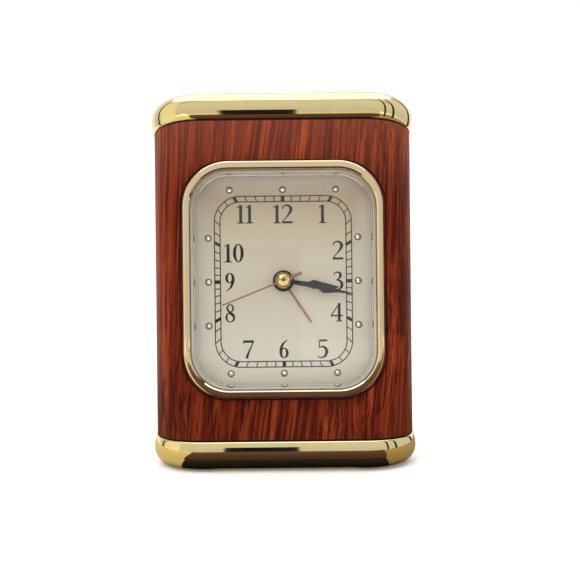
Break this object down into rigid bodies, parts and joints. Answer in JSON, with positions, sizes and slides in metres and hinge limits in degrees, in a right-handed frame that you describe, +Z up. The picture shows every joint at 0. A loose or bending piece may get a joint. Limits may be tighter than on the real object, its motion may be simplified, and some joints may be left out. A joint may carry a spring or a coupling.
{
  "type": "alarm desk clock",
  "caption": "Upright analogue alarm clock: straight-grained wood sleeve between gold caps, framed rounded-rectangle dial, four hands, geared movement, hinged cell door.",
  "frame": {"origin": "centre of the base, at the underside of the felt", "axes": "+Z up, dial faces -Y, +X to the right of someone who looks at the dial"},
  "size_m": [0.0806, 0.036, 0.1093],
  "materials": {
    "wood": "clear lacquer over straight reddish-brown grain",
    "gold": "polished, gold coloured",
    "gold_satin": "small domed studs, polished",
    "crystal": "clear, polished",
    "dial": "champagne satin with dark printed numerals",
    "surround": "champagne satin",
    "black_hand": "black, satin",
    "copper_hand": "copper brown, satin",
    "frame_plastic": "moulded, light grey",
    "black_plastic": "moulded, black",
    "knob_plastic": "moulded, dark",
    "switch_plastic": "moulded, off-white",
    "felt": "dark felt",
    "steel": "plated steel",
    "gear_white": "moulded acetal",
    "gear_brass": "cut brass",
    "magnet": "sintered, dark grey",
    "copper_wire": "enamelled copper wire",
    "board": "green solder mask",
    "chip": "black resin",
    "cell_wrap": "plain printed sleeve"
  },
  "bodies": {
    "case": {"wood_sleeve": "wood", "top_cap": "gold", "bottom_cap": "gold", "base_felt": "felt", "tie_rods": "steel", "front_bezel": "gold", "crystal": "crystal", "dial_surround": "surround", "dial_plate": "dial", "hour_studs": "gold_satin", "inner_frame": "frame_plastic", "back_cover": "black_plastic", "back_cover_screws": "steel", "movement_front_plate": "frame_plastic", "movement_mid_plate": "frame_plastic", "movement_housing": "black_plastic", "movement_screws": "steel", "stator": "steel", "coil_bobbin": "gear_white", "coil_winding": "copper_wire", "circuit_board": "board", "quartz_can": "steel", "driver_chip": "chip", "alarm_contact_spring": "gear_brass", "buzzer": "black_plastic", "battery_cell": "cell_wrap", "positive_contact": "steel", "negative_contact": "steel"},
    "seconds": {"second_wheel": "gear_white", "second_arbor": "steel", "second_hand": "copper_hand", "hand_button": "gold"},
    "third": {"third_wheel": "gear_white"},
    "minute_drive": {"minute_drive_wheel": "gear_brass"},
    "intermediate": {"intermediate_wheel": "gear_white"},
    "rotor": {"rotor_pinion": "gear_white", "rotor_magnet": "magnet"},
    "minutes": {"minute_pipe": "gear_brass", "minute_hand": "black_hand"},
    "motion": {"motion_wheel": "gear_white"},
    "hours": {"hour_wheel": "gear_white", "hour_hand": "black_hand"},
    "time_set": {"time_set_shaft": "gear_white", "time_set_knob": "knob_plastic"},
    "alarm": {"alarm_wheel": "gear_brass", "alarm_hand": "copper_hand"},
    "alarm_set": {"alarm_set_shaft": "gear_white", "alarm_set_knob": "knob_plastic"},
    "switch": {"alarm_switch": "switch_plastic"},
    "door": {"battery_door": "black_plastic"}
  },
  "joints": [
    {"name": "rotor_spin", "type": "hinge", "parent": "case", "child": "rotor", "pos_m": [0.01021, 0, 0.06324], "axis": [0, 1, 0], "continuous": true},
    {"name": "intermediate_spin", "type": "hinge", "parent": "case", "child": "intermediate", "pos_m": [0.0043, 0, 0.06219], "axis": [0, 1, 0], "continuous": true},
    {"name": "seconds_spin", "type": "hinge", "parent": "case", "child": "seconds", "pos_m": [0, 0, 0.05475], "axis": [0, 1, 0], "continuous": true},
    {"name": "third_spin", "type": "hinge", "parent": "case", "child": "third", "pos_m": [-0.00736, 0, 0.059], "axis": [0, 1, 0], "continuous": true},
    {"name": "minute_drive_spin", "type": "hinge", "parent": "case", "child": "minute_drive", "pos_m": [0, 0, 0.05475], "axis": [0, 1, 0], "continuous": true},
    {"name": "time_set_spin", "type": "hinge", "parent": "case", "child": "time_set", "pos_m": [0.0143, 0, 0.05044], "axis": [0, 1, 0], "continuous": true},
    {"name": "motion_spin", "type": "hinge", "parent": "case", "child": "motion", "pos_m": [0.00624, 0, 0.05115], "axis": [0, 1, 0], "continuous": true},
    {"name": "minutes_spin", "type": "hinge", "parent": "case", "child": "minutes", "pos_m": [0, 0, 0.05475], "axis": [0, 1, 0], "continuous": true},
    {"name": "hours_spin", "type": "hinge", "parent": "case", "child": "hours", "pos_m": [0, 0, 0.05475], "axis": [0, 1, 0], "continuous": true},
    {"name": "alarm_set_spin", "type": "hinge", "parent": "case", "child": "alarm_set", "pos_m": [-0.00679, 0, 0.04796], "axis": [0, 1, 0], "continuous": true},
    {"name": "alarm_spin", "type": "hinge", "parent": "case", "child": "alarm", "pos_m": [0, 0, 0.05475], "axis": [0, 1, 0], "continuous": true},
    {"name": "alarm_switch_slide", "type": "slide", "parent": "case", "child": "switch", "axis": [1, 0, 0], "range_m": [0, 0.003]},
    {"name": "battery_door_hinge", "type": "hinge", "parent": "case", "child": "door", "pos_m": [0, 0.0142, 0.02165], "axis": [-1, 0, 0], "range_deg": [0, 95]}
  ],
  "couplings": [
    {"joint": "intermediate_spin", "follows": "rotor_spin", "ratio": -0.2},
    {"joint": "seconds_spin", "follows": "rotor_spin", "ratio": 0.033333},
    {"joint": "third_spin", "follows": "rotor_spin", "ratio": -0.0044444},
    {"joint": "minute_drive_spin", "follows": "rotor_spin", "ratio": 0.00055556},
    {"joint": "motion_spin", "follows": "time_set_spin", "ratio": -0.5},
    {"joint": "minutes_spin", "follows": "time_set_spin", "ratio": 1.5},
    {"joint": "hours_spin", "follows": "time_set_spin", "ratio": 0.125},
    {"joint": "alarm_spin", "follows": "alarm_set_spin", "ratio": -0.6}
  ]
}
